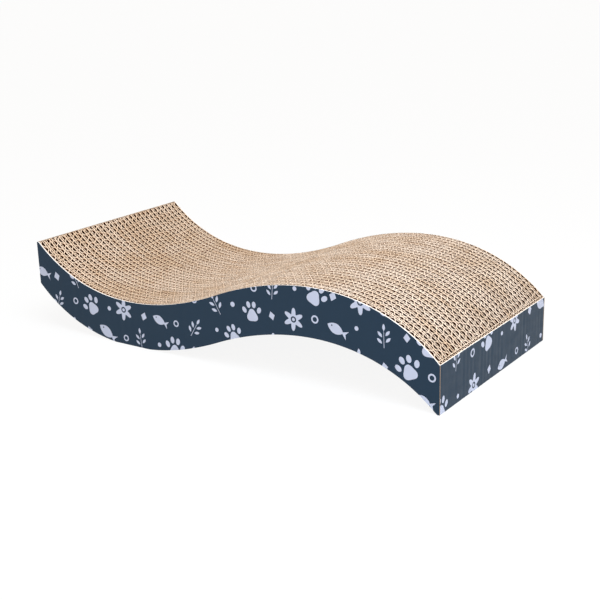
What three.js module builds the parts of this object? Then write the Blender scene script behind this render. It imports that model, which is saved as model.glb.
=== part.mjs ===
// Wave-shaped cat scratcher that stands on the floor: strips of double-wall corrugated board
// glued side by side on edge, printed board covers on the two ends, and printed sheets along the
// two sides, over the covers' edges. The upper and lower faces are bare cut edges of board.
// Millimetres. +X runs along the wave to its low end, +Y to the back and +Z up.
// The origin is on the floor under the middle.
import * as THREE from 'three';

// Driving dimensions
const stripCount = 31;
const stripThickness = 6.3;
const stripLength = 427;
const stripDepth = 43; // upright, from the upper wave to the lower one
const waveRise = 43.5; // hump above hollow
const floorFlat = 1; // depth of the lower wave that is pressed flat on the floor
const tipFlat = 2.2; // depth cut level off the sharp tip at each end
const sheetThickness = 0.9;
const coverThickness = 2.4;
const glueLine = 0.12; // between all neighbouring pieces
const waveStep = 16; // longest straight step along the wave

// Overall sizes
const coreWidth = stripCount * stripThickness + (stripCount - 1) * glueLine;
const overallWidth = coreWidth + 2 * (glueLine + sheetThickness);
const overallLength = stripLength + 2 * (glueLine + coverThickness);
const halfLength = overallLength / 2;
const crest = waveRise / 2;

// Each half of the wave is one arc, leaned over so that it leaves the middle at a slope.
// This slope brings the low end's flat level with the hollow's, so that it stands on both.
function levelSlope(radius) {
  const upright = Math.sqrt(radius ** 2 - halfLength ** 2);
  const reach = 2 * radius - upright + floorFlat - tipFlat;
  const spare = reach ** 2 - radius ** 2;
  return spare / (reach * halfLength + Math.sqrt((reach * halfLength) ** 2 + spare * upright ** 2));
}

function crestHeight(radius) {
  return radius * (Math.hypot(1, levelSlope(radius)) - 1);
}

// The flatter the arc, the lower its crest: halve the range until the crest fits the rise.
function fitRadius() {
  let tight = halfLength;
  let flat = 100 * halfLength;
  for (let halving = 0; halving < 60; halving += 1) {
    const middle = (tight + flat) / 2;
    if (crestHeight(middle) > crest) tight = middle;
    else flat = middle;
  }
  return flat;
}

const waveRadius = fitRadius();
const waveSlope = levelSlope(waveRadius);

function waveHeight(x) {
  const away = Math.abs(x);
  const arc = waveRadius - Math.sqrt(waveRadius ** 2 - away ** 2);
  return Math.sign(x) * (waveSlope * away - arc);
}

function lowerWave(x) {
  return crest - floorFlat + waveHeight(x);
}

function lowerHeight(x) {
  return Math.max(lowerWave(x), 0);
}

function upperHeight(x) {
  const tip = lowerWave(-halfLength) - tipFlat;
  return stripDepth + (x < 0 ? Math.min(lowerWave(x), tip) : lowerWave(x));
}

// How far from the middle a half wave is at a height, before (-1) or after (1) its crest.
function distanceAt(height, side) {
  const lean = 1 + waveSlope ** 2;
  const lift = waveRadius + height;
  return (lift * waveSlope + side * Math.sqrt(waveRadius ** 2 * lean - lift ** 2)) / lean;
}

// Where the outline turns level: the high tip, both edges of the sole under the hollow, the foot.
const levelEdges = [
  -distanceAt(floorFlat - crest, 1),
  -distanceAt(crest - floorFlat, 1),
  -distanceAt(crest - floorFlat, -1),
  distanceAt(floorFlat - crest, 1),
];

function placesAlong(start, end) {
  const corners = [start, ...levelEdges.filter((x) => x > start && x < end), end];
  const places = [start];
  corners.slice(1).forEach((corner, index) => {
    const span = corner - corners[index];
    const steps = Math.ceil(span / waveStep);
    for (let step = 1; step <= steps; step += 1) {
      places.push(corners[index] + (span * step) / steps);
    }
  });
  return places;
}

// A slab of the wave from startX to endX, standing upright with its front face at frontY.
function waveSlab(name, material, startX, endX, frontY, thickness) {
  const places = placesAlong(startX, endX);
  const outline = new THREE.Shape([
    ...places.map((x) => new THREE.Vector2(x, lowerHeight(x))),
    ...places.reverse().map((x) => new THREE.Vector2(x, upperHeight(x))),
  ]);
  const geometry = new THREE.ExtrudeGeometry(outline, { depth: thickness, bevelEnabled: false });
  const slab = new THREE.Mesh(geometry, material);
  slab.name = name;
  slab.rotation.x = Math.PI / 2;
  slab.position.y = frontY + thickness;
  return slab;
}

function corrugatedStrips() {
  const kraftBoard = new THREE.MeshStandardMaterial({ color: 0xcfae86, roughness: 0.95, metalness: 0 });
  const strips = new THREE.Group();
  for (let index = 0; index < stripCount; index += 1) {
    const frontY = -coreWidth / 2 + index * (stripThickness + glueLine);
    const name = `corrugated_strip_${String(index + 1).padStart(2, '0')}`;
    strips.add(waveSlab(name, kraftBoard, -stripLength / 2, stripLength / 2, frontY, stripThickness));
  }
  return strips;
}

function printedWrap() {
  const printedCard = new THREE.MeshStandardMaterial({ color: 0x2d3b4a, roughness: 0.55, metalness: 0 });
  const frontY = -overallWidth / 2;
  const backY = overallWidth / 2 - sheetThickness;
  const coreY = -coreWidth / 2;
  const coverX = halfLength - coverThickness;
  const wrap = new THREE.Group();
  wrap.add(
    waveSlab('front_side_sheet', printedCard, -halfLength, halfLength, frontY, sheetThickness),
    waveSlab('back_side_sheet', printedCard, -halfLength, halfLength, backY, sheetThickness),
    waveSlab('left_end_cover', printedCard, -halfLength, -coverX, coreY, coreWidth),
    waveSlab('right_end_cover', printedCard, coverX, halfLength, coreY, coreWidth),
  );
  return wrap;
}

const scratcher = new THREE.Group();
scratcher.add(corrugatedStrips(), printedWrap());

export default scratcher;
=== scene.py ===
"""Dresses the wave cat scratcher around its fixed CAD frame.

Everything is in metres, in the frame's own axes: +X runs along the wave to its low end,
+Y to the back and +Z up. The boards are cut from real double-wall corrugated board, so
their liners and flutes are modelled as paper, and the print is laid into the card's mesh.
"""

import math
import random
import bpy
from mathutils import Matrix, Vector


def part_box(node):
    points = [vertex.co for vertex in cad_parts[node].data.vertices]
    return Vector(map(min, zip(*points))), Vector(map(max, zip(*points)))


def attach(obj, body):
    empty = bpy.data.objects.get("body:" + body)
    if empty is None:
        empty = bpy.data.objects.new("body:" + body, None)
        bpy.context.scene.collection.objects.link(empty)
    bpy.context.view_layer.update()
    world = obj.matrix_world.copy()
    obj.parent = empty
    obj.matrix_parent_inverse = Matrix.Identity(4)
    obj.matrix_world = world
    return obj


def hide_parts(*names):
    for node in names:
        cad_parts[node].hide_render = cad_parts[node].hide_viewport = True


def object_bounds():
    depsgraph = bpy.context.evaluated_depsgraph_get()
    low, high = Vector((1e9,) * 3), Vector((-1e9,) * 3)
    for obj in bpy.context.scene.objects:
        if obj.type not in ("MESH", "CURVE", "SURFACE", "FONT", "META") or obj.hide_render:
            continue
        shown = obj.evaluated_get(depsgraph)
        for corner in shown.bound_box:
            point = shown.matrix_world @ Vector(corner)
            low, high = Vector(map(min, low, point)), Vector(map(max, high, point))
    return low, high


bl_info = {
    "name": "Wave Cat Scratcher",
    "version": (1, 0, 0),
    "blender": (4, 5, 0),
    "location": "View3D > Sidebar > Scratcher",
    "description": "Builds the fluted boards, printed card and studio of a wave cat scratcher",
    "category": "Object",
}

from collections import namedtuple

import bpy
from bpy.props import FloatProperty, FloatVectorProperty, IntProperty, PointerProperty
from mathutils import Matrix, Vector
from mathutils.geometry import delaunay_2d_cdt

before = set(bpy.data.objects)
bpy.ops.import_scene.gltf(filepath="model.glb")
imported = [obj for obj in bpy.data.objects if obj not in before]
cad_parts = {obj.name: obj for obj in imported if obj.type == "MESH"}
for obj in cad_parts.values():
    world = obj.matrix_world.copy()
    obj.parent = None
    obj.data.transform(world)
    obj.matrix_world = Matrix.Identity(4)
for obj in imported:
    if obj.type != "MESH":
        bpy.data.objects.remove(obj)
CAD_LOW, CAD_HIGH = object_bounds()
GROUP_PREFIX = "scratcher_"
MM = 0.001
SHARP_ANGLE = math.radians(40)
SENSOR_MM = 36
DEPTH = "depth"
SAWN_KRAFT = "sawn_kraft_board"
BOARD_NODES = sorted(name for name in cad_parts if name.startswith("corrugated_strip"))


def linear(hex_colour):
    """Linear RGBA of an sRGB hex colour."""
    channels = [int(hex_colour[place:place + 2], 16) / 255 for place in (1, 3, 5)]
    return [c / 12.92 if c <= 0.04045 else ((c + 0.055) / 1.055) ** 2.4 for c in channels] + [1.0]


WHITE = linear("#FFFFFF")


def length(name, description, millimetres):
    """A length property, given in millimetres and held in metres."""
    return FloatProperty(
        name=name, description=description, default=millimetres * MM, unit="LENGTH", precision=5
    )


def colour(name, description, hex_colour):
    """A colour property, given as sRGB hex."""
    return FloatVectorProperty(
        name=name, description=description, default=linear(hex_colour), size=4, subtype="COLOR", min=0, max=1
    )


def number(name, description, value):
    """A plain number property."""
    return FloatProperty(name=name, description=description, default=value, min=0)


def share(name, description, value):
    """A property that says how much of something, from 0 to 1."""
    return FloatProperty(name=name, description=description, default=value, subtype="FACTOR", min=0, max=1)


def angle(name, description, degrees):
    """An angle property, given in degrees and held in radians."""
    return FloatProperty(name=name, description=description, default=math.radians(degrees), subtype="ANGLE")


def vector(name, description, value, subtype):
    """A property of three numbers, in metres where it is a place."""
    return FloatVectorProperty(name=name, description=description, default=value, subtype=subtype)


class WaveSettings(bpy.types.PropertyGroup):
    """The wave that every piece is cut to."""

    depth: length("Depth", "Upright, from the upper wave to the lower one", 43)
    rise: length("Rise", "Height of the hump above the hollow", 43.5)
    floor_flat: length("Floor flat", "Depth of the lower wave pressed flat on the floor", 1)
    tip_flat: length("Tip flat", "Depth cut level off the sharp tip at each end", 2.2)


class BoardSettings(bpy.types.PropertyGroup):
    """The double-wall corrugated boards."""

    liner: length("Liner", "Thickness of a flat liner", 0.42)
    medium: length("Medium", "Thickness of a fluted layer's paper", 0.22)
    coarse_pitch: length("Coarse pitch", "From flute to flute in the thick layer", 8.45)
    fine_pitch: length("Fine pitch", "From flute to flute in the thin layer", 6.0)
    coarse_share: share("Coarse share", "Part of the fluted height in the thick layer", 0.66)
    crimp: FloatProperty(
        name="Crimp",
        description="How much steeper the flutes' flanks are than a plain wave's",
        default=1.6,
        min=0.01,
    )
    nap: length("Nap", "Unevenness of the cut edges", 0.15)
    left_gloom: length("Left gloom", "How deep light reaches down the thick layer at the left end", 1.2)
    middle_gloom: length("Middle gloom", "The same in the middle, which faces the lamps", 1.8)
    right_gloom: length("Right gloom", "The same at the right end", 0.12)
    fine_gloom: share("Fine gloom", "How deep it reaches down the thin layer, as a share of that", 0.36)
    liner_gloom: share("Liner gloom", "How deep it reaches on a liner, as a share of a flute's", 0.9)
    fuzz: share("Fuzz", "Part of that depth in which the sawn paper is pale", 0.2)
    # Partly browner paper and partly painted shade: a fluted layer's cut edge starts this far down the
    # painted shade in the flutes
    medium_brown_and_shade: share(
        "Medium brown", "How far down that depth a fluted layer's browner paper starts", 0.24
    )
    flare: length("Flare", "How far the saw spreads a liner's cut edge to each side", 0.12)
    smear: length("Smear", "How far it drags a fluted layer's softer edge along the board", 0.28)
    drift: FloatProperty(
        name="Drift", description="How far flutes wander from an even pitch", default=0.2, subtype="ANGLE"
    )
    front_shift: length("Front shift", "Shift of the flutes from board to board in the front half", 3.3)
    back_shift: length("Back shift", "The same in the back half, cut from another sheet", -0.25)
    loose: length("Loose", "How far a board may lie off that shift", 1.0)
    edge_colour: colour("Cut edge", "Fresh cut edge of the kraft paper", "#F7E1C9")
    # Used both for random browner patches of the cut edges and for the painted shade at the high end
    patch_and_shade_colour: colour("Shade", "Browner patches of the cut edges", "#E6C8A8")
    # The next two are painted shade: the colours the paper is darkened to down inside the flutes
    dusk_colour: colour("Dusk", "Light that the paper keeps part of the way down a flute", "#9A6428")
    deep_colour: colour("Deep", "Light that it keeps at the gloom's depth", "#3A1403")
    # The next three paint shade: the cut edges turn browner and darker towards the high end, painted shade
    # for the dimmer, warmer light there
    painted_shade_start: length("Brown start", "Place along the wave up to which the cut edges are brownest", -150)
    painted_shade_end: length("Brown end", "Place along the wave where they are no longer browned", -30)
    painted_shade_share: share("Browning", "How far they turn to the shade where they are brownest", 0.4)
    seed: IntProperty(name="Seed", description="Start of the boards' random draws", default=31)


class PrintSettings(bpy.types.PropertyGroup):
    """The printed card on the sides and ends."""

    ground_colour: colour("Ground", "Slate blue printed all over", "#223546")
    motif_colour: colour("Motif", "Pale lilac of the motifs", "#BDC3D5")
    card_colour: colour("Card", "White core of the card at its cut edges", "#F1EFEA")
    back_colour: colour("Back", "Brown back and upright ends of the card", "#A38C76")
    face_card: length("Face card", "Thickness of the printed face on the end covers", 0.3)
    cover_liner: length("Cover liner", "Thickness of a liner in the end covers", 0.2)
    cover_pitch: length("Cover pitch", "From flute to flute in the end covers", 5.2)
    motif_spacing: length("Motif spacing", "From motif to motif along a row", 42)
    row_spacing: length("Row spacing", "From row to row of motifs", 24)
    end_spread: number("End spread", "How much wider both are on the ends", 1.3)
    side_washboard: length("Side washboard", "How deep the sides sink between flutes", 0.12)
    end_washboard: length("End washboard", "How deep the ends sink between boards", 0.20)
    side_shine: share("Side shine", "Specular level of the varnish on the sides", 0.12)
    end_shine: share("End shine", "The same on the ends", 0.14)
    seed: IntProperty(name="Seed", description="Start of the print's random draws", default=7)


class StageSettings(bpy.types.PropertyGroup):
    """Floor, lamps and camera."""

    floor_colour: colour("Floor", "Pale studio floor", "#F2F2F0")
    floor_glow: share("Floor glow", "How far it is lifted to white for the camera and reflections", 0.9)
    floor_radius: length("Floor radius", "From the middle to its rim, out of sight", 30000)
    air_colour: colour("Air", "Warm white light from all round", "#FFF2E4")
    air_level: number("Air level", "Strength of that light", 0.47)
    sun_level: number("Sun level", "Strength of the sun", 1.2)
    sun_angle: angle("Sun angle", "How broad the sun is", 40)
    sun_aim: vector("Sun aim", "Which way the sun shines", (-0.35, 0.05, -0.94), "DIRECTION")
    softbox_power: number("Softbox power", "Power of the softbox in watts", 7.8)
    softbox_size: length("Softbox size", "Side of the softbox", 600)
    softbox_colour: vector("Softbox colour", "Cool white of the softbox", (0.86, 0.98, 1.16), "COLOR")
    softbox_place: vector("Softbox place", "Middle of the softbox", (0.45, -0.35, 0.85), "TRANSLATION")
    softbox_aim: vector("Softbox aim", "Which way the softbox shines", (-0.35, 0.3, -0.8), "DIRECTION")
    lens: number("Lens", "Focal length of the camera in millimetres", 67.54)
    azimuth: angle("Azimuth", "Camera round to the right of the front", 34.88)
    elevation: angle("Elevation", "Camera above the horizon", 17.39)
    roll: angle("Roll", "Camera leaned about its view", 1.60)
    distance: length("Distance", "From the aim to the camera", 1042.4)
    aim: vector("Aim", "Point at the centre of the picture", (0.0176, 0.0012, 0.0346), "TRANSLATION")


def settings(name):
    """The scene's own copy of a settings group."""
    return getattr(bpy.context.scene, GROUP_PREFIX + name)


# Radius of the flattest arc that is tried, in half lengths, and how often its range is halved
FLATTEST_ARC = 100
HALVINGS = 60


class Wave:
    """Upper and lower outline along X. Each half is one arc that leaves the middle at a slope."""

    def __init__(self):
        self.sizes = settings("wave")
        self.half_length = CAD_HIGH.x
        self.crest = self.sizes.rise / 2
        tight, flat = self.half_length, FLATTEST_ARC * self.half_length
        for _ in range(HALVINGS):
            self.radius = (tight + flat) / 2
            if self.radius * (math.hypot(1, self.level_slope()) - 1) > self.crest:
                tight = self.radius
            else:
                flat = self.radius
        self.slope = self.level_slope()

    def level_slope(self):
        """The slope that brings the low end's flat level with the hollow's."""
        upright = math.sqrt(self.radius**2 - self.half_length**2)
        reach = 2 * self.radius - upright + self.sizes.floor_flat - self.sizes.tip_flat
        spare = reach**2 - self.radius**2
        across = reach * self.half_length
        return spare / (across + math.sqrt(across**2 + spare * upright**2))

    def lower_wave(self, x):
        """Height of the lower wave before it is pressed flat."""
        away = min(abs(x), self.half_length)
        arc = self.radius - math.sqrt(self.radius**2 - away**2)
        return self.crest - self.sizes.floor_flat + math.copysign(1, x) * (self.slope * away - arc)

    def lower(self, x):
        """Height of the lower outline."""
        return max(self.lower_wave(x), 0)

    def upper(self, x):
        """Height of the upper outline, which is cut level at the high tip."""
        tip = self.lower_wave(-self.half_length) - self.sizes.tip_flat
        return self.sizes.depth + (min(self.lower_wave(x), tip) if x < 0 else self.lower_wave(x))


def steps(start, end, step):
    """Even places from start to end, no more than a step apart."""
    count = max(1, math.ceil((end - start) / step))
    return [start + (end - start) * index / count for index in range(count + 1)]


def per(millimetres):
    """Texture scale at which a pattern repeats about once in this many millimetres."""
    return 1 / (millimetres * MM)


def add_node(tree, kind, inputs, **options):
    """Adds a node with its options, and sets or links its inputs."""
    node = tree.nodes.new(kind)
    for name, value in options.items():
        setattr(node, name, value)
    for name, value in inputs.items():
        if isinstance(value, bpy.types.NodeSocket):
            tree.links.new(value, node.inputs[name])
        else:
            node.inputs[name].default_value = value
    return node


def new_material(name):
    """An empty node material, its tree and its place in metres."""
    material = bpy.data.materials.new(name)
    material.use_nodes = True
    tree = material.node_tree
    tree.nodes.clear()
    place = add_node(tree, "ShaderNodeTexCoord", {}).outputs["Object"]
    return material, tree, place


# Sockets of a Mix node that mixes colours
MIX_FIRST, MIX_SECOND, MIX_RESULT = 6, 7, 2


def kraft_board():
    """Unbleached kraft board, sawn: matt pale tan edges with a fuzz of short fibres, cloudy from board
    to board, painted browner and darker towards the high end as painted shade for the dimmer, warmer
    light there. Down inside the flutes the colour is painted through brown to near black, painted shade
    for paper that is lit only by paper. The fibres are drawn coarser than life to show."""
    sizes = settings("boards")
    material, tree, place = new_material(SAWN_KRAFT)
    boards = add_node(tree, "ShaderNodeMapping", {"Vector": place, "Scale": (per(70), per(7), per(400))})
    patches = add_node(tree, "ShaderNodeTexNoise", {"Vector": place, "Scale": per(28), "Detail": 3.0})
    streaks = add_node(
        tree, "ShaderNodeTexNoise", {"Vector": boards.outputs["Vector"], "Scale": 1.0, "Detail": 2.0}
    )
    fibres = add_node(tree, "ShaderNodeTexNoise", {"Vector": place, "Scale": per(0.5), "Detail": 4.0})
    cloud = add_node(
        tree,
        "ShaderNodeMath",
        {0: patches.outputs["Fac"], 1: streaks.outputs["Fac"]},
        operation="MULTIPLY",
    )
    clouded = add_node(
        tree, "ShaderNodeMapRange", {"Value": cloud.outputs["Value"], "From Min": 0.17, "From Max": 0.42}
    )
    along = add_node(tree, "ShaderNodeSeparateXYZ", {"Vector": place})
    # Painted shade: browner and darker towards the high end
    shaded = add_node(
        tree,
        "ShaderNodeMapRange",
        {
            "Value": along.outputs["X"],
            "From Min": sizes.painted_shade_start,
            "From Max": sizes.painted_shade_end,
            "To Min": sizes.painted_shade_share,
            "To Max": 0.0,
        },
    )
    # Random browner patches plus the painted shade of the high end
    amount = add_node(
        tree,
        "ShaderNodeMath",
        {0: clouded.outputs["Result"], 1: shaded.outputs["Result"]},
        operation="ADD",
    )
    tone = add_node(
        tree,
        "ShaderNodeMix",
        {
            "Factor": amount.outputs["Value"],
            MIX_FIRST: sizes.edge_colour,
            MIX_SECOND: sizes.patch_and_shade_colour,
        },
        data_type="RGBA",
    )
    fleck = add_node(
        tree,
        "ShaderNodeMapRange",
        {"Value": fibres.outputs["Fac"], "From Min": 0.3, "From Max": 0.7, "To Min": 0.9, "To Max": 1.06},
    )
    flecked = add_node(
        tree,
        "ShaderNodeVectorMath",
        {0: tone.outputs[MIX_RESULT], "Scale": fleck.outputs["Result"]},
        operation="SCALE",
    )
    # Painted shade: the colour darkens through dusk to deep with how far a point lies down a flute
    depth = add_node(tree, "ShaderNodeAttribute", {}, attribute_name=DEPTH)
    light = add_node(tree, "ShaderNodeValToRGB", {"Fac": depth.outputs["Fac"]})
    stops = light.color_ramp.elements
    stops[0].position = sizes.fuzz
    stops.new((1 + sizes.fuzz) / 2)
    for stop, kept in zip(stops, (WHITE, sizes.dusk_colour, sizes.deep_colour)):
        stop.color = kept
    shown = add_node(
        tree,
        "ShaderNodeMix",
        {"Factor": 1.0, MIX_FIRST: flecked.outputs["Vector"], MIX_SECOND: light.outputs["Color"]},
        data_type="RGBA",
        blend_type="MULTIPLY",
    )
    paper = add_node(
        tree,
        "ShaderNodeBsdfPrincipled",
        {"Base Color": shown.outputs[MIX_RESULT], "Roughness": 0.92, "Specular IOR Level": 0.0},
    )
    add_node(tree, "ShaderNodeOutputMaterial", {"Surface": paper.outputs["BSDF"]})
    return material


def raw_card(name, tint):
    """Bare card at a cut edge or a back: matt and even, with the fine fibres of the pulp."""
    material, tree, place = new_material(name)
    fibres = add_node(tree, "ShaderNodeTexNoise", {"Vector": place, "Scale": per(0.5), "Detail": 4.0})
    bump = add_node(
        tree, "ShaderNodeBump", {"Height": fibres.outputs["Fac"], "Distance": 0.05 * MM, "Strength": 0.6}
    )
    paper = add_node(
        tree,
        "ShaderNodeBsdfPrincipled",
        {"Base Color": tint, "Roughness": 0.92, "Normal": bump.outputs["Normal"], "Specular IOR Level": 0.2},
    )
    add_node(tree, "ShaderNodeOutputMaterial", {"Surface": paper.outputs["BSDF"]})
    return material


def printed_ink(name, ink, shine):
    """Offset ink under a satin varnish on coated card: one even colour with a soft sheen that breaks
    up a little, and the card's fine tooth."""
    material, tree, place = new_material(name)
    mottle = add_node(tree, "ShaderNodeTexNoise", {"Vector": place, "Scale": per(9), "Detail": 5.0})
    tooth = add_node(tree, "ShaderNodeTexNoise", {"Vector": place, "Scale": per(0.9), "Detail": 2.0})
    sheen = add_node(
        tree,
        "ShaderNodeMapRange",
        {"Value": mottle.outputs["Fac"], "From Min": 0.3, "From Max": 0.7, "To Min": 0.38, "To Max": 0.5},
    )
    bump = add_node(
        tree, "ShaderNodeBump", {"Height": tooth.outputs["Fac"], "Distance": 0.02 * MM, "Strength": 0.5}
    )
    varnish = add_node(
        tree,
        "ShaderNodeBsdfPrincipled",
        {
            "Base Color": ink,
            "Roughness": sheen.outputs["Result"],
            "Normal": bump.outputs["Normal"],
            "IOR": 1.5,
            "Specular IOR Level": shine,
        },
    )
    add_node(tree, "ShaderNodeOutputMaterial", {"Surface": varnish.outputs["BSDF"]})
    return material


def seen_rays(tree):
    """1 for rays of the camera and of reflections, and 0 for those that light the scene."""
    path = add_node(tree, "ShaderNodeLightPath", {})
    seen = add_node(
        tree,
        "ShaderNodeMath",
        {0: path.outputs["Is Camera Ray"], 1: path.outputs["Is Glossy Ray"]},
        operation="MAXIMUM",
    )
    return seen.outputs["Value"]


def studio_paper(name, shade, glow):
    """Rolled white studio paper: matt and even, with a trace of cloud. The camera and reflections see
    it lifted part of the way to white, so that only the object's shadow shows on it."""
    material, tree, place = new_material(name)
    cloud = add_node(tree, "ShaderNodeTexNoise", {"Vector": place, "Scale": per(600), "Detail": 2.0})
    tone = add_node(
        tree,
        "ShaderNodeMapRange",
        {"Value": cloud.outputs["Fac"], "To Min": 0.985, "To Max": 1.015},
    )
    even = add_node(
        tree, "ShaderNodeVectorMath", {0: shade, "Scale": tone.outputs["Result"]}, operation="SCALE"
    )
    paper = add_node(
        tree, "ShaderNodeBsdfPrincipled", {"Base Color": even.outputs["Vector"], "Roughness": 0.95}
    )
    white = add_node(tree, "ShaderNodeEmission", {"Color": WHITE, "Strength": 1.0})
    lift = add_node(tree, "ShaderNodeMath", {0: seen_rays(tree), 1: glow}, operation="MULTIPLY")
    floor = add_node(
        tree,
        "ShaderNodeMixShader",
        {0: lift.outputs["Value"], 1: paper.outputs["BSDF"], 2: white.outputs["Emission"]},
    )
    add_node(tree, "ShaderNodeOutputMaterial", {"Surface": floor.outputs["Shader"]})
    return material


def mesh_piece(name, points, faces, slots, materials):
    """A piece from points and faces, smooth but for its sharp edges."""
    mesh = bpy.data.meshes.new(name)
    mesh.from_pydata(points, [], faces)
    for material in materials:
        mesh.materials.append(material)
    mesh.polygons.foreach_set("material_index", slots)
    mesh.shade_smooth()
    mesh.set_sharp_from_angle(angle=SHARP_ANGLE)
    mesh.validate()
    piece = bpy.data.objects.new(name, mesh)
    bpy.context.collection.objects.link(piece)
    return piece


def dress(piece, node):
    """Puts a piece in its CAD node's place."""
    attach(piece, "root")
    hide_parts(node)


LINER_STEP = 6 * MM
FLUTE_STEPS = 12
# Shortest and longest stretch of board in which flutes wander out and back, in millimetres
WANDER_STRETCHES = (90, 160)
# Corners round a paper layer's section, of which 0 to 3 are at the top and 4 to 7 at the bottom,
# 0, 1, 4 and 5 at the front, and the even ones on the cut edge
RING = (0, 1, 5, 4, 6, 7, 3, 2)
RING_SIZE = len(RING)

# One fluted layer. reach is how far light comes down it, as a share of the gloom
Flutes = namedtuple("Flutes", "height pitch reach")


class FlutedBoard:
    """Collects the layers of paper of one corrugated board, as points along it, across it and up.

    span holds its start and its end, and glooms how deep light reaches at its start, middle and end.
    edges gives its top and bottom at a place along and across it, and shift is where along it the
    flutes start. thickness is that of a liner.
    """

    def __init__(self, span, glooms, edges, shift, draws, thickness):
        self.span = span
        self.glooms = glooms
        self.edges = edges
        self.shift = shift
        self.draws = draws
        self.thickness = thickness
        self.sizes = settings("boards")
        self.points = []
        self.faces = []
        self.depths = []

    def gloom(self, along):
        """How deep light reaches at a place along it, on a parabola through the three glooms."""
        start, middle, end = self.glooms
        part = (along - self.span[0]) / (self.span[1] - self.span[0])
        return start + part * (end - start) + 4 * part * (1 - part) * (middle - (start + end) / 2)

    def layer(self, places, walls, lips, reaches, brown):
        """One layer of paper on edge. walls and lips give the places across the board of its two sides
        and of their cut edges. reaches is how far light comes down each side, as a share of the gloom,
        and brown how far down the painted shade its cut edge starts, which for a fluted layer stands for
        browner paper and painted shade together."""
        start = len(self.points)
        for along in places:
            for end, inward in ((0, -1), (1, 1)):
                for lip, wall, reach in zip(lips(along), walls(along), reaches):
                    nap = self.draws.uniform(0, self.sizes.nap)
                    sunk = self.gloom(along) * reach
                    self.points.append((along, lip, self.edges(along, lip)[end] + inward * nap))
                    self.points.append((along, wall, self.edges(along, wall)[end] + inward * sunk))
                    self.depths += [brown, 1.0]
        for index in range(len(places) - 1):
            a = start + RING_SIZE * index
            b = a + RING_SIZE
            for one, other in zip(RING, RING[1:] + RING[:1]):
                self.faces.append((a + one, a + other, b + other, b + one))
        last = start + RING_SIZE * (len(places) - 1)
        self.faces.append(tuple(start + corner for corner in reversed(RING)))
        self.faces.append(tuple(last + corner for corner in RING))

    def liner(self, across, before, behind):
        """A flat liner between the fluted layers before and behind it."""
        places = steps(*self.span, LINER_STEP)
        front, back = across - self.thickness / 2, across + self.thickness / 2
        lips = (front - self.sizes.flare if before else front, back + self.sizes.flare if behind else back)
        reaches = [self.sizes.liner_gloom * (flutes or before or behind).reach for flutes in (before, behind)]
        self.layer(places, lambda along: (front, back), lambda along: lips, reaches, 0.0)

    def flutes(self, across, flutes):
        """A fluted layer, which touches the liners on both sides of its height."""
        sizes = self.sizes
        turn = 2 * math.pi / flutes.pitch
        scale = (flutes.height - sizes.medium) / 2 / math.tanh(sizes.crimp)
        wander = self.draws.uniform(0, 2 * math.pi)
        wander_turn = 2 * math.pi / (self.draws.uniform(*WANDER_STRETCHES) * MM)

        def walls(along):
            phase = turn * (along - self.shift) + sizes.drift * math.sin(wander + wander_turn * along)
            sway = sizes.crimp * math.sin(phase)
            slope = scale * sizes.crimp * turn * math.cos(phase) / math.cosh(sway) ** 2
            middle = across + scale * math.tanh(sway)
            half = math.hypot(1, slope) * sizes.medium / 2
            return middle - half, middle + half

        def lips(along):
            reached = [walls(along + drag) for drag in (-sizes.smear, 0, sizes.smear)]
            return min(front for front, _ in reached), max(back for _, back in reached)

        places = steps(*self.span, flutes.pitch / FLUTE_STEPS)
        # Its cut edge starts part of the way down the painted shade, for browner paper and painted shade
        # together
        self.layer(places, walls, lips, (flutes.reach, flutes.reach), sizes.medium_brown_and_shade)

    def stack(self, across, layers):
        """Fluted layers from front to back, each between two liners."""
        before = None
        across += self.thickness / 2
        for flutes in layers:
            self.liner(across, before, flutes)
            across += (self.thickness + flutes.height) / 2
            self.flutes(across, flutes)
            across += (self.thickness + flutes.height) / 2
            before = flutes
        self.liner(across, before, None)


def board_piece(name, board, place):
    """A piece of fluted board. Its points keep how far they lie down a flute, which sets their painted shade.
    """
    kraft = bpy.data.materials.get(SAWN_KRAFT) or kraft_board()
    points = [place(*point) for point in board.points]
    piece = mesh_piece(name, points, board.faces, [0] * len(board.faces), [kraft])
    piece.data.attributes.new(DEPTH, "FLOAT", "POINT").data.foreach_set("value", board.depths)
    return piece


class SCRATCHER_OT_boards(bpy.types.Operator):
    """Cut and stand up the corrugated boards"""

    bl_idname = "scratcher.boards"
    bl_label = "Corrugated boards"

    def execute(self, context):
        sizes = settings("boards")
        wave = Wave()
        glooms = (sizes.left_gloom, sizes.middle_gloom, sizes.right_gloom)
        shift = 0.0
        for index, node in enumerate(BOARD_NODES):
            draws = random.Random(sizes.seed + index)
            shift += sizes.front_shift if index < len(BOARD_NODES) / 2 else sizes.back_shift
            shift += draws.uniform(-sizes.loose, sizes.loose)
            low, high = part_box(node)
            fluted = high.y - low.y - 3 * sizes.liner
            coarse = Flutes(fluted * sizes.coarse_share, sizes.coarse_pitch, 1.0)
            fine = Flutes(fluted - coarse.height, sizes.fine_pitch, sizes.fine_gloom)
            board = FlutedBoard(
                (low.x, high.x),
                glooms,
                lambda x, y: (wave.upper(x), wave.lower(x)),
                shift,
                draws,
                sizes.liner,
            )
            board.stack(low.y, [coarse, fine] if index == 0 else [fine, coarse])
            name = node.replace("corrugated_strip", "fluted_board")
            piece = board_piece(name, board, lambda x, y, z: (x, y, z))
            dress(piece, node)
        return {"FINISHED"}


# A motif is a list of loops, about 1 across in all. A loop inside another one is left bare, and one
# inside that is filled again.
FISH_STEPS = 12
LEAF_CORNERS = 20


def round_loop(centre, radii, turn=0.0, count=18):
    """Points round an ellipse."""
    cos, sin = math.cos(turn), math.sin(turn)
    loop = []
    for index in range(count):
        around = 2 * math.pi * index / count
        x, y = radii[0] * math.cos(around), radii[1] * math.sin(around)
        loop.append((centre[0] + x * cos - y * sin, centre[1] + x * sin + y * cos))
    return loop


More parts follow.
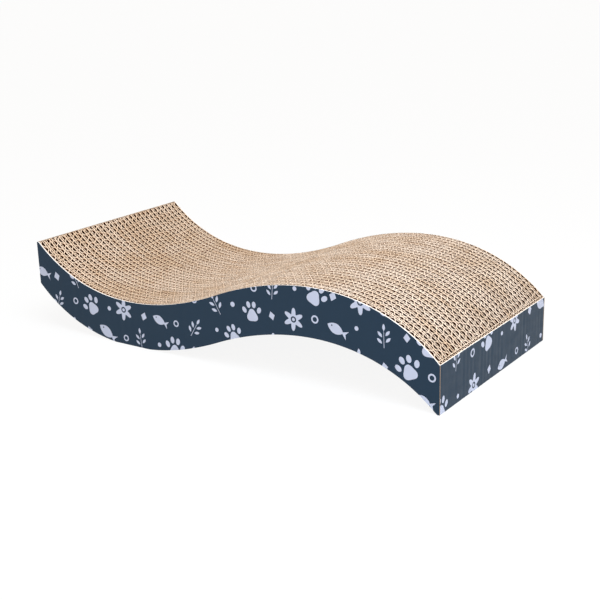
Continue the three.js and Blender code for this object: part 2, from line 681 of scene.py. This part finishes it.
def polar_loop(centre, radius_at, count=40):
    """Points round a centre at a radius that changes with the angle."""
    angles = [2 * math.pi * index / count for index in range(count)]
    return [
        (centre[0] + radius_at(a) * math.cos(a), centre[1] + radius_at(a) * math.sin(a)) for a in angles
    ]


def paw_print():
    """A rounded pad with four toes over it."""
    pad = polar_loop((0, -0.16), lambda around: 0.28 * (1 - 0.13 * math.sin(3 * around)))
    toes = [(-0.40, 0.10, 0.5), (-0.15, 0.34, 0.15), (0.15, 0.34, -0.15), (0.40, 0.10, -0.5)]
    return [pad] + [round_loop((x, y), (0.105, 0.15), turn) for x, y, turn in toes]


def little_fish():
    """A plump body and a forked tail in one outline, with a bare eye."""
    body = []
    for step in range(1, FISH_STEPS + 1):
        bulge = 0.2 * math.sin(math.pi * step / FISH_STEPS) ** 0.8
        body.append((-0.5 + 0.76 * step / FISH_STEPS, 0.04 * step / FISH_STEPS + bulge))
    upper = body + [(0.5, 0.2), (0.4, 0.0)]
    lower = [(x, -y) for x, y in reversed(body + [(0.5, 0.2)])]
    return [[(-0.5, 0.0)] + upper + lower, round_loop((-0.3, 0.05), (0.035, 0.035), count=10)]


def daisy():
    """Six petals round a bare eye with a dot in it."""
    petals = polar_loop((0, 0), lambda around: 0.35 + 0.13 * math.cos(6 * around), count=60)
    return [petals, round_loop((0, 0), (0.13, 0.13)), round_loop((0, 0), (0.07, 0.07))]


def leaf_sprig():
    """Two pairs of leaves and one at the tip, along a thin stem."""
    stem = [(-0.012, -0.5), (0.012, -0.5), (0.01, 0.2), (-0.01, 0.2)]
    angles = [2 * math.pi * index / LEAF_CORNERS for index in range(LEAF_CORNERS)]
    leaf = [(0.15 * math.cos(a), 0.065 * math.sin(a) * abs(math.sin(a))) for a in angles]
    pairs = [(-0.2, -0.22, 2.4), (0.2, -0.14, 0.75), (-0.18, 0.06, 2.3), (0.18, 0.14, 0.85)]
    tip = (0, 0.37, 1.57)
    sprig = [stem]
    for x, y, turn in pairs + [tip]:
        sprig += place_motif([leaf], (x, y), 1, turn)
    return sprig


def dot():
    """A filled round."""
    return [round_loop((0, 0), (0.3, 0.3), count=14)]


def ring():
    """A round with a bare middle."""
    return [round_loop((0, 0), (0.5, 0.5)), round_loop((0, 0), (0.3, 0.3))]


def diamond():
    """A square on its corner, a little tall."""
    return [[(0.5, 0), (0, 0.62), (-0.5, 0), (0, -0.62)]]


# sizes holds the least and the greatest size of some motifs, and strays how far they may lie off their
# places along and across a row, all in millimetres. lean is how far they may be turned, in radians.
Motifs = namedtuple("Motifs", "shapes sizes strays lean")
LARGE_MOTIFS = Motifs(
    shapes=(paw_print, daisy, little_fish, leaf_sprig), sizes=(18, 23), strays=(2, 2), lean=0.6
)
SMALL_MOTIFS = Motifs(shapes=(dot, ring, diamond), sizes=(6, 8), strays=(3, 4), lean=0.4)
# How far a row of motifs may start from its even place
ROW_STRAY = 4 * MM


def place_motif(loops, centre, size, turn):
    """A motif's loops scaled to a size, turned and moved to a centre."""
    cos, sin = math.cos(turn) * size, math.sin(turn) * size
    return [
        [(centre[0] + x * cos - y * sin, centre[1] + x * sin + y * cos) for x, y in loop] for loop in loops
    ]


def draw_motif(motifs, index, place, draws):
    """The loops of one motif, near its place and of its own size and lean."""
    shape = motifs.shapes[index % len(motifs.shapes)]
    centre = [at + draws.uniform(-stray, stray) * MM for at, stray in zip(place, motifs.strays)]
    size = draws.uniform(*motifs.sizes) * MM
    return place_motif(shape(), centre, size, draws.uniform(-motifs.lean, motifs.lean))


def scatter_motifs(low, high, spread, draws):
    """Large motifs in brick rows over a face, with a small one in each gap along a row."""
    sizes = settings("print")
    spacing, row_spacing = sizes.motif_spacing * spread, sizes.row_spacing * spread
    loops = []
    row = 0
    v = low[1] + draws.uniform(0, row_spacing)
    while v < high[1] + row_spacing:
        column = 0
        u = low[0] + (0.5 * row % 1) * spacing + draws.uniform(0, ROW_STRAY)
        while u < high[0] + spacing:
            loops += draw_motif(LARGE_MOTIFS, column + 3 * row, (u, v), draws)
            loops += draw_motif(SMALL_MOTIFS, 2 * column + row, (u + spacing / 2, v), draws)
            u += spacing
            column += 1
        v += row_spacing
        row += 1
    return loops


# Number of hollows that are drawn before they repeat
HOLLOWS = 200


def washboard(pitch, depth, draws):
    """How far a face sinks between ridges a pitch apart, each hollow to its own depth."""
    hollows = [draws.random() ** 2 * depth for _ in range(HOLLOWS)]

    def sink(u):
        cell = math.floor(u / pitch)
        return hollows[cell % len(hollows)] * (0.5 - 0.5 * math.cos(2 * math.pi * (u / pitch - cell)))

    return sink


# Slots of a printed panel's materials
GROUND, MOTIF, CARD, BACK = range(4)
# The triangulation keeps what lies inside its loops, and joins points that are this near in millimetres
INSIDE_LOOPS = 1
JOIN_MM = 0.001
# A rim edge that runs less far than this along a panel is part of an upright end
UPRIGHT = 0.01 * MM
# From point to point along a panel's outline and upright inside it, and their number from ridge to ridge
OUTLINE_STEP = 2 * MM
INLAY_STEP = 7 * MM
SIDE_RIDGE_STEPS = 6
END_RIDGE_STEPS = 5
# How far the ends' seeds lie from the sides'
END_SEEDS = 10


def inlay(outline, loops, seeds):
    """Points and triangles of a face with motifs laid into it, and the slot of each triangle.

    seeds are further points inside the face, so that it can sink between ridges.
    """
    scale = 1 / MM
    points, faces = [], []
    for loop in [outline] + loops:
        turned = sum(a[0] * b[1] - b[0] * a[1] for a, b in zip(loop, loop[1:] + loop[:1]))
        faces.append(list(range(len(points), len(points) + len(loop))))
        points += [Vector(p) * scale for p in (loop if turned > 0 else reversed(loop))]
    points += [Vector(p) * scale for p in seeds]
    places, _, triangles, _, _, sources = delaunay_2d_cdt(points, [], faces, INSIDE_LOOPS, JOIN_MM, True)
    kept = [(tuple(t), MOTIF if len(s) % 2 == 0 else GROUND) for t, s in zip(triangles, sources) if 0 in s]
    used = sorted({corner for triangle, _ in kept for corner in triangle})
    renumbered = {corner: index for index, corner in enumerate(used)}
    flat = [places[corner] / scale for corner in used]
    return flat, [tuple(renumbered[c] for c in t) for t, _ in kept], [slot for _, slot in kept]


def rim_of(triangles):
    """Corners round the outside of a sheet of triangles, in order."""
    edges = {(t[i], t[(i + 1) % 3]) for t in triangles for i in range(3)}
    after = {a: b for a, b in edges if (b, a) not in edges}
    first = min(after)
    rim = [first]
    while after[rim[-1]] != first:
        rim.append(after[rim[-1]])
    return rim


def panel_materials(finish, shine):
    """Inks and bare card of one kind of panel, in the order of its slots."""
    sizes = settings("print")
    return [
        printed_ink("slate_ink_" + finish, sizes.ground_colour, shine),
        printed_ink("lilac_ink_" + finish, sizes.motif_colour, shine),
        raw_card("white_card_" + finish, sizes.card_colour),
        raw_card("brown_card_" + finish, sizes.back_colour),
    ]


def printed_panel(name, outline, loops, seeds, place, sink, thickness, materials):
    """A printed card: white along its edges, brown on its back and at its upright ends."""
    flat, faces, slots = inlay(outline, loops, seeds)
    points = [place(u, v, sink(u)) for u, v in flat]
    rim = rim_of(faces)
    back = list(range(len(points), len(points) + len(rim)))
    points += [place(*flat[corner], thickness) for corner in rim]
    for index in range(len(rim)):
        after = (index + 1) % len(rim)
        upright = abs(flat[rim[after]].x - flat[rim[index]].x) < UPRIGHT
        faces.append((rim[after], rim[index], back[index], back[after]))
        slots.append(BACK if upright else CARD)
    faces.append(tuple(reversed(back)))
    slots.append(BACK)
    return mesh_piece(name, points, faces, slots, materials)


class SCRATCHER_OT_sides(bpy.types.Operator):
    """Print and cut the sheets along the two sides"""

    bl_idname = "scratcher.sides"
    bl_label = "Side sheets"

    def execute(self, context):
        sizes, pitch = settings("print"), settings("boards").coarse_pitch
        materials = panel_materials("sides", sizes.side_shine)
        wave = Wave()
        for index, (node, facing) in enumerate((("front_side_sheet", -1), ("back_side_sheet", 1))):
            draws = random.Random(sizes.seed + index)
            low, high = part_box(node)
            face_y = low.y if facing < 0 else high.y

            def place(u, v, depth, face_y=face_y, facing=facing):
                return (-facing * u, face_y - facing * depth, v)

            along = steps(low.x, high.x, OUTLINE_STEP)
            outline = [(u, wave.lower(-facing * u)) for u in along]
            outline += [(u, wave.upper(-facing * u)) for u in reversed(along)]
            seeds = []
            for u in steps(low.x, high.x, pitch / SIDE_RIDGE_STEPS)[1:-1]:
                bottom, top = wave.lower(-facing * u), wave.upper(-facing * u)
                seeds += [(u, v) for v in steps(bottom, top, INLAY_STEP)[1:-1]]
            loops = scatter_motifs((low.x, low.z), (high.x, high.z), 1.0, draws)
            sink = washboard(pitch, sizes.side_washboard, draws)
            name = node.replace("side_sheet", "printed_sheet")
            piece = printed_panel(name, outline, loops, seeds, place, sink, high.y - low.y, materials)
            dress(piece, node)
        return {"FINISHED"}


class SCRATCHER_OT_ends(bpy.types.Operator):
    """Print and cut the covers over the two ends"""

    bl_idname = "scratcher.ends"
    bl_label = "End covers"

    def execute(self, context):
        sizes = settings("print")
        materials = panel_materials("ends", sizes.end_shine)
        wave = Wave()
        first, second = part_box(BOARD_NODES[0]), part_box(BOARD_NODES[1])
        pitch = second[0].y - first[0].y
        for index, (node, facing) in enumerate((("left_end_cover", -1), ("right_end_cover", 1))):
            draws = random.Random(sizes.seed + END_SEEDS + index)
            low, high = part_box(node)
            face_x = low.x if facing < 0 else high.x
            bottom, top = wave.lower(face_x), wave.upper(face_x)

            def place(u, v, depth, face_x=face_x, facing=facing, bottom=bottom, top=top):
                x = face_x - facing * depth
                part = (v - bottom) / (top - bottom)
                return (x, facing * u, wave.lower(x) + part * (wave.upper(x) - wave.lower(x)))

            across = steps(low.y, high.y, pitch / END_RIDGE_STEPS)
            outline = [(u, bottom) for u in across] + [(u, top) for u in reversed(across)]
            seeds = [(u, v) for u in across[1:-1] for v in steps(bottom, top, INLAY_STEP)[1:-1]]
            loops = scatter_motifs((low.y, low.z), (high.y, high.z), sizes.end_spread, draws)
            sink = washboard(pitch, sizes.end_washboard, draws)
            name = node.replace("end_cover", "printed_cover")
            piece = printed_panel(name, outline, loops, seeds, place, sink, sizes.face_card, materials)
            dress(piece, node)
            self.core(node, wave, facing, draws)
        return {"FINISHED"}

    def core(self, node, wave, facing, draws):
        """The fluted board behind a cover's printed face."""
        sizes = settings("print")
        low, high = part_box(node)
        inside = min(abs(low.x), abs(high.x))
        fluted = high.x - low.x - sizes.face_card - 2 * sizes.cover_liner

        def edges(u, away):
            return wave.upper(facing * away), wave.lower(facing * away)

        # The cover's flutes get the painted shade of the boards' right end all along
        gloom = settings("boards").right_gloom
        board = FlutedBoard((low.y, high.y), (gloom, gloom, gloom), edges, 0.0, draws, sizes.cover_liner)
        board.stack(inside, [Flutes(fluted, sizes.cover_pitch, 1.0)])
        name = node.replace("end_cover", "cover_core")
        piece = board_piece(name, board, lambda u, away, z: (facing * away, -facing * u, z))
        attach(piece, "root")


FLOOR_CORNERS = 64


def add_lamp(name, kind, energy, aim):
    """A lamp that shines along its aim."""
    lamp = bpy.data.objects.new(name, bpy.data.lights.new(name, kind))
    lamp.data.energy = energy
    lamp.rotation_euler = Vector(aim).to_track_quat("-Z", "Y").to_euler()
    bpy.context.collection.objects.link(lamp)
    return lamp


class SCRATCHER_OT_stage(bpy.types.Operator):
    """Lay the floor and set the lamps and the camera"""

    bl_idname = "scratcher.stage"
    bl_label = "Stage"

    def execute(self, context):
        stage = settings("stage")
        scene = context.scene
        scene.view_settings.view_transform = "Standard"
        self.floor(stage)
        self.air(scene, stage)
        self.lamps(stage)
        self.camera(scene, stage)
        return {"FINISHED"}

    def floor(self, stage):
        """A wide floor that runs out of sight."""
        radii = (stage.floor_radius, stage.floor_radius)
        points = [(x, y, 0.0) for x, y in round_loop((0, 0), radii, count=FLOOR_CORNERS)]
        paper = studio_paper("studio_paper", stage.floor_colour[:3], stage.floor_glow)
        mesh_piece("studio_floor", points, [tuple(range(len(points)))], [0], [paper])

    def air(self, scene, stage):
        """Even, slightly warm light from all round, which the camera and reflections see as white."""
        world = bpy.data.worlds.new("studio_air")
        world.use_nodes = True
        tree = world.node_tree
        tree.nodes.clear()
        seen = seen_rays(tree)
        level = add_node(
            tree, "ShaderNodeMapRange", {"Value": seen, "To Min": stage.air_level, "To Max": 1.0}
        )
        tint = add_node(
            tree,
            "ShaderNodeMix",
            {"Factor": seen, MIX_FIRST: stage.air_colour, MIX_SECOND: WHITE},
            data_type="RGBA",
        )
        air = add_node(
            tree,
            "ShaderNodeBackground",
            {"Strength": level.outputs["Result"], "Color": tint.outputs[MIX_RESULT]},
        )
        add_node(tree, "ShaderNodeOutputWorld", {"Surface": air.outputs["Background"]})
        scene.world = world

    def lamps(self, stage):
        """A broad soft sun from above on the right, and a cool softbox in front on the right."""
        sun = add_lamp("soft_sun", "SUN", stage.sun_level, stage.sun_aim)
        sun.data.angle = stage.sun_angle
        softbox = add_lamp("softbox", "AREA", stage.softbox_power, stage.softbox_aim)
        softbox.data.size = stage.softbox_size
        softbox.data.color = stage.softbox_colour
        softbox.location = stage.softbox_place

    def camera(self, scene, stage):
        """The photo's camera, which looks at its aim from the right and above."""
        flat = math.cos(stage.elevation)
        right, front = math.sin(stage.azimuth) * flat, math.cos(stage.azimuth) * flat
        back = Vector((right, -front, math.sin(stage.elevation)))
        data = bpy.data.cameras.new("photo_camera")
        data.lens = stage.lens
        data.sensor_width = SENSOR_MM
        camera = bpy.data.objects.new("photo_camera", data)
        turn = back.to_track_quat("Z", "Y").to_matrix() @ Matrix.Rotation(-stage.roll, 3, "Z")
        camera.matrix_world = Matrix.Translation(Vector(stage.aim) + stage.distance * back) @ turn.to_4x4()
        bpy.context.collection.objects.link(camera)
        scene.camera = camera


class SCRATCHER_PT_panel(bpy.types.Panel):
    """Sizes, colours and steps of the scratcher"""

    bl_idname = "SCRATCHER_PT_panel"
    bl_label = "Cat scratcher"
    bl_space_type = "VIEW_3D"
    bl_region_type = "UI"
    bl_category = "Scratcher"

    def draw(self, context):
        for group, _ in GROUPS:
            box = self.layout.box()
            box.label(text=group.capitalize())
            for name in settings(group).__annotations__:
                box.prop(settings(group), name)
        for operator in OPERATORS:
            self.layout.operator(operator.bl_idname)


GROUPS = (
    ("wave", WaveSettings),
    ("boards", BoardSettings),
    ("print", PrintSettings),
    ("stage", StageSettings),
)
OPERATORS = (SCRATCHER_OT_stage, SCRATCHER_OT_boards, SCRATCHER_OT_sides, SCRATCHER_OT_ends)


def register():
    """Adds the settings, the operators and the panel to Blender."""
    for name, group in GROUPS:
        bpy.utils.register_class(group)
        setattr(bpy.types.Scene, GROUP_PREFIX + name, PointerProperty(type=group))
    for kind in OPERATORS + (SCRATCHER_PT_panel,):
        bpy.utils.register_class(kind)


def unregister():
    """Takes them out again."""
    for kind in reversed(OPERATORS + (SCRATCHER_PT_panel,)):
        bpy.utils.unregister_class(kind)
    for name, group in reversed(GROUPS):
        delattr(bpy.types.Scene, GROUP_PREFIX + name)
        bpy.utils.unregister_class(group)


def main():
    """Builds the scratcher on its stage."""
    register()
    bpy.ops.scratcher.stage()
    bpy.ops.scratcher.boards()
    bpy.ops.scratcher.sides()
    bpy.ops.scratcher.ends()


if __name__ == "__main__":
    main()
